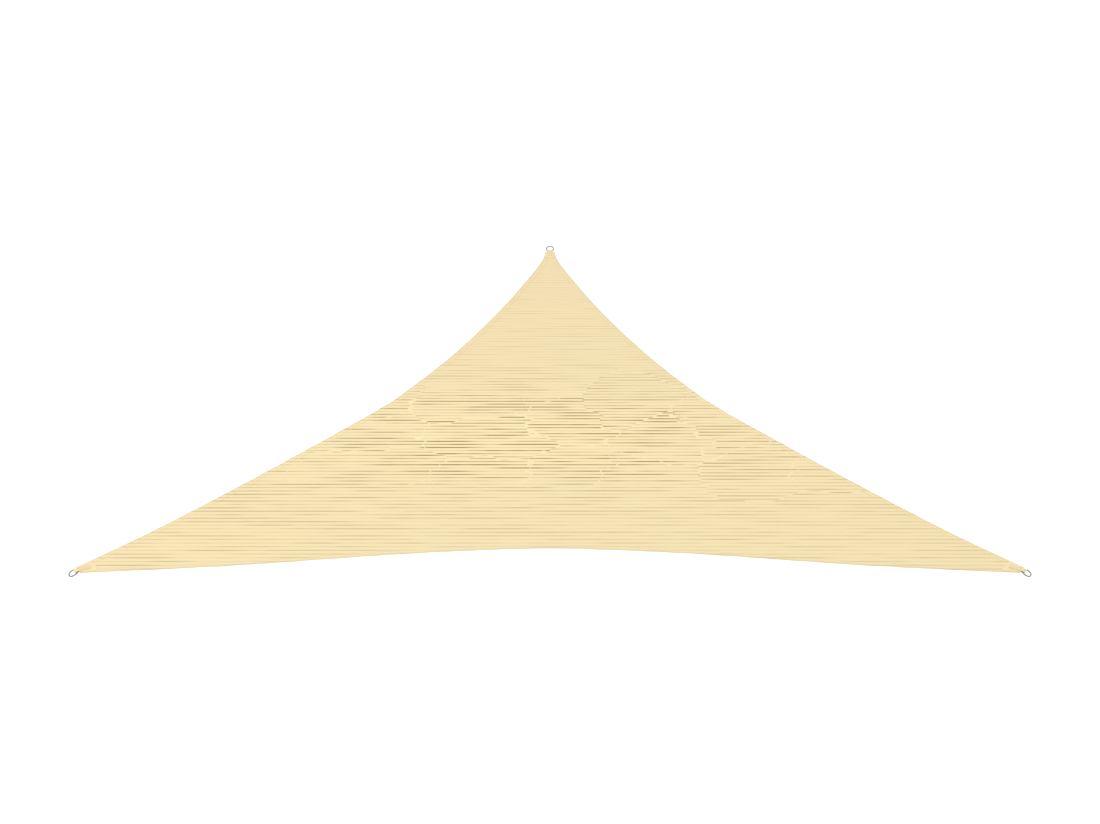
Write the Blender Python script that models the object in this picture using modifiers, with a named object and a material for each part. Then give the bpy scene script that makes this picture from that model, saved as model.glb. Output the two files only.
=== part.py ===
"""A three-cornered shade sail, stretched between three fixing points, in metres, +Z up.

The origin is the rear fixing point: where the rear ring's centre lies when the ring is pulled
straight. The three fixing points are level, and the sail reaches from the rear one towards -Y.
The cloth has three hollow edges with a folded hem and a slight belly. At each corner a plain
patch is sewn on top, and a webbing loop goes round a round wire ring.
"""

from math import cos, pi, radians, sin, sqrt

import bmesh
import bpy
from mathutils import Matrix, Vector

# Driving dimensions
SIDE = 5.0  # from ring centre to ring centre, along each side
BELLY = 0.018  # drop of the cloth's middle below the three fixing points

CLOTH_THICK = 0.0015
HEM_THICK = 0.0030  # the cloth folded over itself
HEM_WIDTH = 0.040
HEM_STEP = 0.006  # width of the slope from the hem down to the single cloth
HEM_TAPER = 0.150  # the hem narrows over this length at each end of an edge
HEM_TIP_WIDTH = 0.008
TIP_BACK = 0.0295  # from the fixing point back to the cloth's blunt corner
TIP_HALF = 0.030

PATCH_LENGTH = 0.120  # along the corner's middle line
PATCH_THICK = 0.0012
PATCH_INSET = 0.005  # the hem shows past the patch by this much
PATCH_BULGE = 0.012  # how far its inner side bows towards the sail's middle
PATCH_STEPS = 8  # along that side

RING_RADIUS = 0.024  # to the middle of the wire
WIRE_RADIUS = 0.003
RING_GAP = 0.00045  # between the wire and the webbing round it
RING_STEPS = 40
WIRE_STEPS = 10

STRAP_WIDTH = 0.036
STRAP_THICK = 0.0018
STRAP_LENGTH = 0.098  # from the fixing point to the sewn end
STRAP_BEND = 0.0290  # where the two legs leave the cloth
LOOP_BACK = 0.0015  # the loop runs straight from this far behind the wire
LOOP_REACH = 0.0105  # to this far past it, where its round end starts
LOOP_STEPS = 8
EASE_STEPS = 4  # in each leg's curve from the cloth to the loop

GAP = 0.0003  # between pieces that touch on the real sail
EDGE_STEPS = 30  # points along each edge
FIELD_RINGS = 8  # rows of faces between the hem and the middle

# Hollow of a rear edge. along: share of the side, from the front ring to the rear ring.
# hollow: how far the edge lies inside the straight side, as a share of it.
SIDE_EDGE = (
    # along, hollow
    (0.10, 0.0170),
    (0.20, 0.0327),
    (0.30, 0.0460),
    (0.40, 0.0578),
    (0.48, 0.0663),
    (0.53, 0.0676),
    (0.62, 0.0640),
    (0.70, 0.0566),
    (0.80, 0.0428),
    (0.90, 0.0237),
    (0.96, 0.0099),
)

# Hollow of the front edge, from its middle to the right ring: it is bell-shaped.
# out: share of half the side. hollow: as above.
FRONT_EDGE = (
    # out, hollow
    (0.00, 0.0500),
    (0.17, 0.0454),
    (0.34, 0.0364),
    (0.50, 0.0248),
    (0.67, 0.0128),
    (0.84, 0.0040),
)

# The way out to each corner, in degrees from +X about +Z
FRONT_LEFT = 210.0
FRONT_RIGHT = 330.0
REAR = 90.0

# Corners. tilt: how far the free ring stands up from, or hangs below, the plane of the sail.
CORNERS = (
    # name, turn, tilt
    ("front_left", FRONT_LEFT, -24.0),
    ("front_right", FRONT_RIGHT, -24.0),
    ("rear", REAR, 28.0),
)

# Worked out from them
DEPTH = SIDE * sqrt(3) / 2
MIDDLE = Vector((0, -DEPTH * 2 / 3, 0))  # of the triangle of fixing points
REACH = SIDE / sqrt(3)  # from there to each fixing point
PATCH_Z = HEM_THICK / 2 + GAP + PATCH_THICK / 2
LEG_TOP_Z = PATCH_Z + PATCH_THICK / 2 + GAP + STRAP_THICK / 2
LEG_UNDER_Z = -(HEM_THICK / 2 + GAP + STRAP_THICK / 2)
WIRE_Z = (LEG_TOP_Z + LEG_UNDER_Z) / 2
LOOP_RADIUS = WIRE_RADIUS + RING_GAP + STRAP_THICK / 2  # to the middle of the webbing

MATERIALS = (
    # name, colour, roughness, metallic
    ("shade_cloth", (0.875, 0.730, 0.430), 0.75, 0.0),
    ("patch_cloth", (0.890, 0.760, 0.450), 0.70, 0.0),
    ("webbing", (0.900, 0.780, 0.470), 0.65, 0.0),
    ("steel", (0.560, 0.560, 0.570), 0.25, 1.0),
)


def outward(turn):
    """Unit vector from the sail's middle towards a corner."""
    return Vector((cos(radians(turn)), sin(radians(turn)), 0))


def across(turn):
    """Unit vector along a corner's blunt end, anticlockwise round the sail."""
    return outward(turn + 90)


def fixing_point(turn):
    return MIDDLE + outward(turn) * REACH


def surface_z(point):
    """Height of the cloth's middle layer: flat along the sides, lowest at the sail's middle."""
    rear = 1 + point.y / DEPTH
    left = (1 - rear) / 2 - point.x / SIDE
    right = (1 - rear) / 2 + point.x / SIDE
    return -BELLY * 27 * max(rear, 0) * max(left, 0) * max(right, 0)


def smooth_line(points, steps):
    """Points evenly spaced in number along a smooth curve through the given ones."""
    padded = [2 * points[0] - points[1], *points, 2 * points[-1] - points[-2]]
    spans = len(points) - 1
    line = []
    for i in range(steps + 1):
        at = i / steps * spans
        k = min(int(at), spans - 1)
        t = at - k
        before, start, end, after = padded[k : k + 4]
        line.append(
            start
            + (end - before) * (t / 2)
            + (2 * before - 5 * start + 4 * end - after) * (t * t / 2)
            + (3 * start - 3 * end + after - before) * (t**3 / 2)
        )
    return line


def tip(turn, way):
    """End of a corner's blunt end: way is 1 for the one anticlockwise, -1 for the other."""
    return fixing_point(turn) - outward(turn) * TIP_BACK + across(turn) * (way * TIP_HALF)


def edge_point(start_turn, end_turn, along, hollow):
    """A point beside the straight line between two fixing points, shifted into the sail."""
    start = fixing_point(start_turn)
    side = (fixing_point(end_turn) - start) / SIDE
    inward = Vector((-side.y, side.x, 0))
    return start + (side * along + inward * hollow) * SIDE


def front_edge():
    """The front edge, from the left corner to the right one."""
    half = [
        edge_point(FRONT_LEFT, FRONT_RIGHT, (1 + out) / 2, hollow) for out, hollow in FRONT_EDGE
    ]
    mirrored = [Vector((-p.x, p.y, 0)) for p in reversed(half[1:])]
    return smooth_line(
        [tip(FRONT_LEFT, 1), *mirrored, *half, tip(FRONT_RIGHT, -1)], EDGE_STEPS
    )


def right_edge():
    """The right rear edge, from the front right corner to the rear one."""
    rows = [edge_point(FRONT_RIGHT, REAR, along, hollow) for along, hollow in SIDE_EDGE]
    return smooth_line([tip(FRONT_RIGHT, 1), *rows, tip(REAR, -1)], EDGE_STEPS)


def left_edge():
    """The left rear edge, from the rear corner to the front left one."""
    return [Vector((-p.x, p.y, 0)) for p in reversed(right_edge())]


def inset(edge, amounts):
    """An edge moved into the sail, which lies on its left, by an amount at each point."""
    moved = []
    for i, point in enumerate(edge):
        run = (edge[min(i + 1, len(edge) - 1)] - edge[max(i - 1, 0)]).normalized()
        moved.append(point + Vector((-run.y, run.x, 0)) * amounts[i])
    return moved


def hem_widths(edge):
    """Width of the hem at each point of an edge, narrowed towards the two corners."""
    widths = []
    for point in edge:
        to_tip = min((point - edge[0]).length, (point - edge[-1]).length)
        share = min(to_tip / HEM_TAPER, 1)
        widths.append(HEM_TIP_WIDTH + (HEM_WIDTH - HEM_TIP_WIDTH) * share)
    return widths


def add_object(name, mesh, collection):
    thing = bpy.data.objects.new(name, mesh)
    collection.objects.link(thing)
    return thing


def solidify(thing, thickness):
    thick = thing.modifiers.new("thickness", "SOLIDIFY")
    thick.thickness = thickness
    thick.offset = 0
    return thick


def make_sail(collection):
    """The sail cloth: loops of points from its edge to its middle, thicker in the hem."""
    edges = [front_edge(), right_edge(), left_edge()]
    outline = [p for edge in edges for p in edge]
    hem_line = [p for edge in edges for p in inset(edge, hem_widths(edge))]
    field_line = [
        p for edge in edges for p in inset(edge, [w + HEM_STEP for w in hem_widths(edge)])
    ]
    loops = [outline, hem_line]
    loops += [
        [MIDDLE.lerp(p, 1 - k / FIELD_RINGS) for p in field_line] for k in range(FIELD_RINGS)
    ]
    mesh = bmesh.new()
    share = mesh.verts.layers.deform.verify()
    rows = []
    for number, loop in enumerate(loops):
        row = [mesh.verts.new((p.x, p.y, surface_z(p))) for p in loop]
        for vert in row:
            vert[share][0] = 1 if number < 2 else CLOTH_THICK / HEM_THICK
        rows.append(row)
    centre = mesh.verts.new((MIDDLE.x, MIDDLE.y, surface_z(MIDDLE)))
    centre[share][0] = CLOTH_THICK / HEM_THICK
    count = len(outline)
    for outer, inner in zip(rows, rows[1:]):
        for i in range(count):
            j = (i + 1) % count
            mesh.faces.new((outer[i], outer[j], inner[j], inner[i]))
    for i in range(count):
        mesh.faces.new((rows[-1][i], rows[-1][(i + 1) % count], centre))
    data = bpy.data.meshes.new("sail_cloth")
    mesh.to_mesh(data)
    mesh.free()
    sail = add_object("sail_cloth", data, collection)
    sail.vertex_groups.new(name="share_of_thickness")
    thick = solidify(sail, HEM_THICK)
    thick.vertex_group = "share_of_thickness"
    sail.data.shade_smooth()
    return sail


def edge_start(edge, end):
    """The stretch of an edge from its first point until it is end away from that point."""
    stretch = [edge[0]]
    for point in edge[1:]:
        whole = (point - edge[0]).length
        if whole > end:
            last = (stretch[-1] - edge[0]).length
            stretch.append(stretch[-1].lerp(point, (end - last) / (whole - last)))
            return stretch
        stretch.append(point)
    return stretch


def make_patch(name, turn, leaving, arriving, collection):
    """The doubler on a corner, inside the hem. leaving starts at the corner, arriving ends there."""
    length = PATCH_LENGTH - TIP_BACK
    near = edge_start(leaving, length)
    far = edge_start(arriving[::-1], length)[::-1]
    near = inset(near, [PATCH_INSET] * len(near))
    far = inset(far, [PATCH_INSET] * len(far))
    tip_shift = outward(turn) * PATCH_INSET
    near[0] -= tip_shift
    far[-1] -= tip_shift
    bulge = (near[-1] + far[0]) / 2 - outward(turn) * PATCH_BULGE
    inner_side = smooth_line([near[-1], bulge, far[0]], PATCH_STEPS)[1:-1]
    mesh = bmesh.new()
    corners = [mesh.verts.new((p.x, p.y, PATCH_Z)) for p in [*near, *inner_side, *far]]
    mesh.faces.new(corners)
    data = bpy.data.meshes.new(name)
    mesh.to_mesh(data)
    mesh.free()
    patch = add_object(name, data, collection)
    solidify(patch, PATCH_THICK)
    return patch


def ring_frame(turn, tilt):
    """Where a ring's wire passes through its loop, and the way from there to its centre."""
    pivot = fixing_point(turn) - outward(turn) * RING_RADIUS + Vector((0, 0, WIRE_Z))
    way = outward(turn) * cos(radians(tilt)) + Vector((0, 0, sin(radians(tilt))))
    return pivot, way


def eased(start, start_way, end, end_way):
    """The points of a curve that leaves start and reaches end along the given ways."""
    handle = (end - start).length / 3
    first, second = start + start_way * handle, end - end_way * handle
    line = []
    for k in range(EASE_STEPS + 1):
        t = k / EASE_STEPS
        line.append(
            start * (1 - t) ** 3
            + first * (3 * t * (1 - t) ** 2)
            + second * (3 * t * t * (1 - t))
            + end * t**3
        )
    return line


def strap_path(turn, tilt):
    """Middle line of the webbing: along the top, round the wire and back under the cloth."""
    out = outward(turn)
    pivot, way = ring_frame(turn, tilt)
    side = across(turn).cross(way)  # square to the ring's plane
    if side.z < 0:
        side = -side
    end = fixing_point(turn) - out * STRAP_LENGTH
    bend = fixing_point(turn) - out * STRAP_BEND
    top, under = Vector((0, 0, LEG_TOP_Z)), Vector((0, 0, LEG_UNDER_Z))
    back = pivot - way * LOOP_BACK
    path = [end + top, *eased(bend + top, out, back + side * LOOP_RADIUS, way)]
    for k in range(LOOP_STEPS + 1):
        angle = pi * k / LOOP_STEPS
        reach = LOOP_REACH + LOOP_RADIUS * sin(angle)
        path.append(pivot + way * reach + side * (LOOP_RADIUS * cos(angle)))
    path += [*eased(back - side * LOOP_RADIUS, -way, bend + under, -out), end + under]
    return path


def make_strap(name, turn, tilt, collection):
    """The webbing loop: its middle line drawn out to its width, then given its thickness."""
    mesh = bmesh.new()
    half = across(turn) * (STRAP_WIDTH / 2)
    line = [mesh.verts.new(p - half) for p in strap_path(turn, tilt)]
    run = [mesh.edges.new(pair) for pair in zip(line, line[1:])]
    drawn = bmesh.ops.extrude_edge_only(mesh, edges=run)
    moved = [v for v in drawn["geom"] if isinstance(v, bmesh.types.BMVert)]
    bmesh.ops.translate(mesh, verts=moved, vec=2 * half)
    data = bpy.data.meshes.new(name)
    mesh.to_mesh(data)
    mesh.free()
    strap = add_object(name, data, collection)
    thick = solidify(strap, STRAP_THICK)
    thick.use_even_offset = True
    return strap


def make_ring(name, turn, tilt, collection):
    """A round wire ring, turned about its wire where that lies in the webbing loop."""
    pivot, way = ring_frame(turn, tilt)
    bpy.ops.mesh.primitive_torus_add(
        major_radius=RING_RADIUS,
        minor_radius=WIRE_RADIUS,
        major_segments=RING_STEPS,
        minor_segments=WIRE_STEPS,
    )
    ring = bpy.context.object
    ring.name = ring.data.name = name
    along = across(turn)
    square = way.cross(along)
    turned = Matrix((way, along, square)).transposed().to_4x4()
    ring.matrix_world = Matrix.Translation(pivot + way * RING_RADIUS) @ turned
    for old in list(ring.users_collection):
        old.objects.unlink(ring)
    collection.objects.link(ring)
    ring.data.shade_smooth()
    return ring


def make_materials():
    made = {}
    for name, colour, roughness, metallic in MATERIALS:
        material = bpy.data.materials.new(name)
        material.use_nodes = True
        shader = material.node_tree.nodes["Principled BSDF"]
        shader.inputs["Base Color"].default_value = (*colour, 1)
        shader.inputs["Roughness"].default_value = roughness
        shader.inputs["Metallic"].default_value = metallic
        made[name] = material
    return made


def main():
    for thing in list(bpy.data.objects):
        bpy.data.objects.remove(thing)
    collection = bpy.data.collections.new("shade_sail")
    bpy.context.scene.collection.children.link(collection)
    materials = make_materials()
    front, right, left = front_edge(), right_edge(), left_edge()
    leaving = {"front_left": front, "front_right": right, "rear": left}
    arriving = {"front_left": left, "front_right": front, "rear": right}
    make_sail(collection).data.materials.append(materials["shade_cloth"])
    for corner, turn, tilt in CORNERS:
        patch = make_patch(
            f"patch_{corner}", turn, leaving[corner], arriving[corner], collection
        )
        patch.data.materials.append(materials["patch_cloth"])
        strap = make_strap(f"strap_{corner}", turn, tilt, collection)
        strap.data.materials.append(materials["webbing"])
        ring = make_ring(f"ring_{corner}", turn, tilt, collection)
        ring.data.materials.append(materials["steel"])


main()
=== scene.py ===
"""The dressed shade sail in a plain pale studio, in metres, +Z up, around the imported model.

The sail is a stretched, three-cornered sheet of knitted cloth with a folded and sewn hem. Each
corner has a sewn-on doubler, a webbing loop sewn through it, and a welded wire ring. The origin
is the rear fixing point, and the sail reaches from there towards -Y.
"""

import math

import bpy
import numpy as np
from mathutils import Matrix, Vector
from mathutils.geometry import delaunay_2d_cdt


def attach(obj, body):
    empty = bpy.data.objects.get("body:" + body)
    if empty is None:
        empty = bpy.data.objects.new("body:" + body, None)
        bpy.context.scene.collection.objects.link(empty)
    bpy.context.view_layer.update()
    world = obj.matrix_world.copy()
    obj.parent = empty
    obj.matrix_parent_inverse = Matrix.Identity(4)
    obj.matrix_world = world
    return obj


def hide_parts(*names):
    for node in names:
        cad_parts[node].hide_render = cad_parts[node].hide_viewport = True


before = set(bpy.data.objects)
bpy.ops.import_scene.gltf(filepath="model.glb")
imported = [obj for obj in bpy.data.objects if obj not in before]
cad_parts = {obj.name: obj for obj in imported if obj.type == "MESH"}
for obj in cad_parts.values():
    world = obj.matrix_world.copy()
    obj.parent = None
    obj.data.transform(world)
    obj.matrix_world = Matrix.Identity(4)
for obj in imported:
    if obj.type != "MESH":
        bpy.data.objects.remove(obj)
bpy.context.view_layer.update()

# Sizes that the part has too
SIDE = 5.0  # from ring centre to ring centre
BELLY = 0.018  # drop of the cloth's middle below the three fixing points
CLOTH_THICK = 0.0015
HEM_THICK = 0.0030  # the cloth folded over itself
HEM_WIDTH = 0.040
HEM_TAPER = 0.150  # the hem narrows over this length at each end of an edge
HEM_TIP_WIDTH = 0.008
TIP_BACK = 0.0295  # from the fixing point back to the cloth's blunt corner
TIP_HALF = 0.030
PATCH_LENGTH = 0.120  # of the doubler, from the fixing point
PATCH_THICK = 0.0012
PATCH_INSET = 0.005  # the hem shows past the doubler by this much
PATCH_BULGE = 0.012  # how far its inner side bows towards the sail's middle
RING_RADIUS = 0.024  # to the middle of the wire
WIRE_RADIUS = 0.003
RING_GAP = 0.00045  # between the wire and the webbing round it
STRAP_WIDTH = 0.036
STRAP_THICK = 0.0018
STRAP_LENGTH = 0.098  # from the fixing point to the sewn end
STRAP_BEND = 0.0290  # where the two legs leave the cloth
LOOP_BACK = 0.0015  # the loop runs straight from this far behind the wire
LOOP_REACH = 0.0105  # to this far past it, where its round end starts
GAP = 0.0003  # that the part leaves between pieces that touch on the real sail

# Hollow of a rear edge, as a share of the side. along: the place on the side, from the front
# ring to the rear ring.
SIDE_EDGE = (
    # along, hollow
    (0.10, 0.0170),
    (0.20, 0.0327),
    (0.30, 0.0460),
    (0.40, 0.0578),
    (0.48, 0.0663),
    (0.53, 0.0676),
    (0.62, 0.0640),
    (0.70, 0.0566),
    (0.80, 0.0428),
    (0.90, 0.0237),
    (0.96, 0.0099),
)

# Hollow of the front edge, as a share of the side. out: the place on half the side, from its
# middle to the right ring.
FRONT_EDGE = (
    # out, hollow
    (0.00, 0.0500),
    (0.17, 0.0454),
    (0.34, 0.0364),
    (0.50, 0.0248),
    (0.67, 0.0128),
    (0.84, 0.0040),
)

FRONT_LEFT = 210.0
FRONT_RIGHT = 330.0
REAR = 90.0
CORNERS = (
    # name, turn, tilt of the ring
    ("front_left", FRONT_LEFT, -24.0),
    ("front_right", FRONT_RIGHT, -24.0),
    ("rear", REAR, 28.0),
)

DEPTH = SIDE * math.sqrt(3) / 2
MIDDLE = np.array((0, -DEPTH * 2 / 3, 0))  # of the triangle of fixing points
REACH = SIDE / math.sqrt(3)  # from there to each fixing point
PATCH_Z = HEM_THICK / 2 + GAP + PATCH_THICK / 2
LEG_TOP_Z = PATCH_Z + PATCH_THICK / 2 + GAP + STRAP_THICK / 2
LEG_UNDER_Z = -(HEM_THICK / 2 + GAP + STRAP_THICK / 2)
WIRE_Z = (LEG_TOP_Z + LEG_UNDER_Z) / 2
LOOP_RADIUS = WIRE_RADIUS + RING_GAP + STRAP_THICK / 2

# Sizes of the dressing alone
EDGE_STEPS = 200  # along each hollow edge
CORNER_STEPS = 6  # points between two edges, across a blunt corner
FIELD_PITCH = 0.030  # of the even grid of points in the single cloth
FIELD_CLEAR = 0.6  # share of the pitch that the grid keeps from the hem
OUTER_SEAM = 0.006  # from the hem's fold to its outer row of stitches
INNER_SEAM = 0.034
SEAM_START = 0.008  # from the cloth's blunt corners to the first stitch of a hem
SEAM_DENT = 0.0003  # the stitches pull the cloth in by this much
FOLD_REACH = 0.005  # how far the painted shade along the cloth's outer fold reaches inwards
CLOSE_GAP = 0.0001  # between cloths that are sewn on each other
TINY = 1e-6
INSIDE_ALONE = 1  # makes the triangulation stay inside its border

# Low waves that the hem's seams pull into the cloth
GATHER_HEIGHT = 0.0006
GATHER_START = 0.25  # from a corner along the edge
GATHER_FULL = 0.60
GATHER_FADE = 0.10  # how fast they die out inside the edge
GATHER_BLUR = 0.04  # over this much of the edge they are evened out
GATHER_WAVES = (
    # pace in radians a metre, share
    (31, 1.0),
    (47, 0.8),
    (19, 0.6),
)

# Low ridges that run from each corner into the cloth, where the ring pulls it
RIDGE_HEIGHT = 0.0007
RIDGE_START = 0.20  # from the fixing point
RIDGE_FULL = 0.45
RIDGE_FADE = 0.45  # how fast they die out past that
RIDGE_WAVES = (
    # pace round the corner, share
    (14, 1.0),
    (23, 0.6),
)

# Broad, shallow unevenness of the stretched cloth
BILLOW_HEIGHT = 0.0016
BILLOW_WAVES = (
    # pace in radians a metre along X, along Y, start, share
    (2.3, 1.1, 0.4, 1.0),
    (-1.4, 3.1, 2.0, 0.7),
)

# The hem's section at its full width, from its outer fold to the single cloth
HEM_PROFILE = (
    # inward, half thickness
    (0.0000, 0.00000),
    (0.0003, 0.00080),
    (0.0010, 0.00125),
    (0.0024, 0.00150),
    (0.0046, 0.00149),
    (OUTER_SEAM, 0.00120),
    (0.0074, 0.00149),
    (0.0200, 0.00150),
    (0.0326, 0.00149),
    (INNER_SEAM, 0.00120),
    (0.0354, 0.00149),
    (0.0388, 0.00146),
    (HEM_WIDTH, 0.00115),
    (0.0412, 0.00080),
    (0.0460, 0.00075),
)


# ---------------------------------------------------------------- shapes


def outward(turn):
    """The level way from the sail's middle to the corner at a turn in degrees."""
    angle = math.radians(turn)
    return np.array((math.cos(angle), math.sin(angle), 0))


def across(turn):
    return outward(turn + 90)


def fixing_point(turn):
    return MIDDLE + outward(turn) * REACH


def smooth_step(low, high, value):
    """0 below low, 1 above high, and a smooth rise between them."""
    share = np.clip((value - low) / (high - low), 0, 1)
    return share * share * (3 - 2 * share)


def smooth_line(points, steps):
    """Points evenly spaced in number along a smooth curve through the given ones."""
    points = np.array(points)
    padded = np.vstack((2 * points[0] - points[1], points, 2 * points[-1] - points[-2]))
    at = np.linspace(0, len(points) - 1, steps + 1)
    k = np.minimum(at.astype(int), len(points) - 2)
    t = (at - k)[:, None]
    before, start, end, after = (padded[k + i] for i in range(4))
    return (
        start
        + (end - before) * (t / 2)
        + (2 * before - 5 * start + 4 * end - after) * (t * t / 2)
        + (3 * start - 3 * end + after - before) * (t**3 / 2)
    )


def tip(turn, way):
    """An end of the cloth's blunt corner, on its anticlockwise side (way 1) or the other (-1)."""
    return fixing_point(turn) - outward(turn) * TIP_BACK + across(turn) * (way * TIP_HALF)


def edge_point(start_turn, end_turn, along, hollow):
    """A point of a hollow edge, by its shares of the side along it and inwards from it."""
    start = fixing_point(start_turn)
    side = (fixing_point(end_turn) - start) / SIDE
    inward = np.array((-side[1], side[0], 0))
    return start + (side * along + inward * hollow) * SIDE


MIRROR = np.array((-1, 1, 1))


def front_edge():
    half = [
        edge_point(FRONT_LEFT, FRONT_RIGHT, (1 + out) / 2, hollow) for out, hollow in FRONT_EDGE
    ]
    mirrored = [p * MIRROR for p in reversed(half[1:])]
    return smooth_line([tip(FRONT_LEFT, 1), *mirrored, *half, tip(FRONT_RIGHT, -1)], EDGE_STEPS)


def right_edge():
    rows = [edge_point(FRONT_RIGHT, REAR, along, hollow) for along, hollow in SIDE_EDGE]
    return smooth_line([tip(FRONT_RIGHT, 1), *rows, tip(REAR, -1)], EDGE_STEPS)


def waves(at, table, seed):
    """The waves of a table, summed at places along a line or round a corner."""
    return sum(
        share * np.sin(at * pace + step * seed) for step, (pace, share) in enumerate(table, 1)
    )


def tension_ridges(points):
    """How far the ridges at the corners lift some points of the cloth."""
    height = np.zeros(len(points))
    for number, (_, turn, _) in enumerate(CORNERS):
        away = points - fixing_point(turn)
        inwards = -away @ outward(turn)
        sideways = away @ across(turn)
        far = np.hypot(inwards, sideways)
        angle = np.arctan2(sideways, np.maximum(inwards, TINY))
        past = np.maximum(far - RIDGE_FULL, 0)
        fade = smooth_step(RIDGE_START, RIDGE_FULL, far) * np.exp(-past / RIDGE_FADE)
        height += RIDGE_HEIGHT * fade * waves(angle, RIDGE_WAVES, number)
    return height


def billow(points):
    """The belly and its unevenness, none on the straight sides between the fixing points."""
    x, y = points[:, 0], points[:, 1]
    rear = 1 + y / DEPTH
    left = (1 - rear) / 2 - x / SIDE
    right = (1 - rear) / 2 + x / SIDE
    # The three shares are 1/3 at the triangle's middle, so 27 makes the bubble 1 there
    bubble = 27 * np.maximum(rear, 0) * np.maximum(left, 0) * np.maximum(right, 0)
    uneven = sum(
        share * np.sin(pace_x * x + pace_y * y + start)
        for pace_x, pace_y, start, share in BILLOW_WAVES
    )
    return bubble * (BILLOW_HEIGHT * uneven - BELLY)


def cloth_z(points):
    """Height of the cloth's middle layer."""
    return billow(points) + tension_ridges(points)


class Edge:
    """One hollow edge of the sail, from a corner to the next one anticlockwise. Its seed gives it
    gathers of its own."""

    def __init__(self, points, seed):
        self.points = points
        run = np.empty_like(points)
        run[1:-1] = points[2:] - points[:-2]
        run[0], run[-1] = points[1] - points[0], points[-1] - points[-2]
        run /= np.linalg.norm(run, axis=1)[:, None]
        self.inward = np.column_stack((-run[:, 1], run[:, 0], np.zeros(len(run))))
        steps = np.linalg.norm(np.diff(points, axis=0), axis=1)
        self.arc = np.concatenate(([0], np.cumsum(steps)))
        to_tip = np.minimum(self.arc, self.arc[-1] - self.arc)
        taper = np.minimum(to_tip / HEM_TAPER, 1)
        self.share = (HEM_TIP_WIDTH + (HEM_WIDTH - HEM_TIP_WIDTH) * taper) / HEM_WIDTH
        rise = smooth_step(GATHER_START, GATHER_FULL, to_tip)
        self.gathers = rise * waves(self.arc, GATHER_WAVES, seed)

    def row(self, inward):
        """The cloth's middle layer at one distance inside the edge, at the hem's full width."""
        moved = self.points + self.inward * (inward * self.share)[:, None]
        fade = GATHER_HEIGHT * math.exp(-inward / GATHER_FADE)
        moved[:, 2] = cloth_z(moved) + fade * self.gathers
        return moved


right_points = right_edge()
EDGES = (
    Edge(front_edge(), 1),
    Edge(right_points, 2),
    Edge(right_points[::-1] * MIRROR, 3),
)


def add_mesh(name, points, faces, edges=()):
    """A smooth object made of points in metres, at the sail's own origin."""
    mesh = bpy.data.meshes.new(name)
    mesh.from_pydata([tuple(p) for p in points], edges, faces)
    mesh.update()
    mesh.shade_smooth()
    thing = bpy.data.objects.new(name, mesh)
    bpy.context.scene.collection.objects.link(thing)
    return thing


def apply_modifiers(thing):
    """Makes an object's evaluated shape its plain mesh, and removes its modifiers."""
    bpy.context.view_layer.update()
    evaluated = thing.evaluated_get(bpy.context.evaluated_depsgraph_get())
    made = bpy.data.meshes.new_from_object(evaluated)
    thing.modifiers.clear()
    thing.data = made
    made.name = thing.name
    return thing


def thicken(sheet, thickness, rounding, segments, sharp=math.radians(30), even=False):
    """Gives a sheet its thickness and rounds its cut edges: those with a bend above sharp."""
    solid = sheet.modifiers.new("thickness", "SOLIDIFY")
    solid.thickness = thickness
    solid.offset = 0
    solid.use_even_offset = even
    bevel = sheet.modifiers.new("rounding", "BEVEL")
    bevel.width = thickness * rounding
    bevel.segments = segments
    bevel.limit_method = "ANGLE"
    bevel.angle_limit = sharp
    return apply_modifiers(sheet)


def close_loop(edge_rows):
    """A loop round the sail: the three edges' rows with points between them at the corners."""
    parts = []
    for row, following in zip(edge_rows, (*edge_rows[1:], edge_rows[0])):
        share = np.linspace(0, 1, CORNER_STEPS + 2)[1:-1, None]
        corner = row[-1] * (1 - share) + following[0] * share
        parts += [row, corner]
    return np.vstack(parts)


def inside(points, border):
    """Which points lie inside a closed border: a level ray from them crosses it an odd number
    of times."""
    x, y = points[:, 0, None], points[:, 1, None]
    start, end = border, np.roll(border, -1, axis=0)
    crosses = (start[:, 1] > y) != (end[:, 1] > y)
    climb = end[:, 1] - start[:, 1]
    lean = (end[:, 0] - start[:, 0]) / np.where(climb == 0, 1, climb)
    at = start[:, 0] + (y - start[:, 1]) * lean
    return (crosses & (x < at)).sum(axis=1) % 2 == 1


def field_points(border, gathers):
    """An even, staggered grid of points on the single cloth inside the hem."""
    low, high = border.min(axis=0), border.max(axis=0)
    rows = []
    for number, y in enumerate(np.arange(low[1], high[1], FIELD_PITCH * math.sqrt(3) / 2)):
        x = np.arange(low[0] + number % 2 * FIELD_PITCH / 2, high[0], FIELD_PITCH)
        rows.append(np.column_stack((x, np.full(len(x), y), np.zeros(len(x)))))
    grid = np.vstack(rows)
    grid = grid[inside(grid, border)]
    spans = np.hypot(grid[:, 0, None] - border[:, 0], grid[:, 1, None] - border[:, 1])
    clear = spans.min(axis=1) > FIELD_PITCH * FIELD_CLEAR
    grid, spans = grid[clear], spans[clear]
    nearest = spans.min(axis=1)
    weights = np.exp(-(((spans - nearest[:, None]) / GATHER_BLUR) ** 2))
    pulled = weights @ gathers / weights.sum(axis=1)
    fade = GATHER_HEIGHT * np.exp(-(nearest + HEM_WIDTH) / GATHER_FADE)
    grid[:, 2] = cloth_z(grid) + fade * pulled
    return grid


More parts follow.
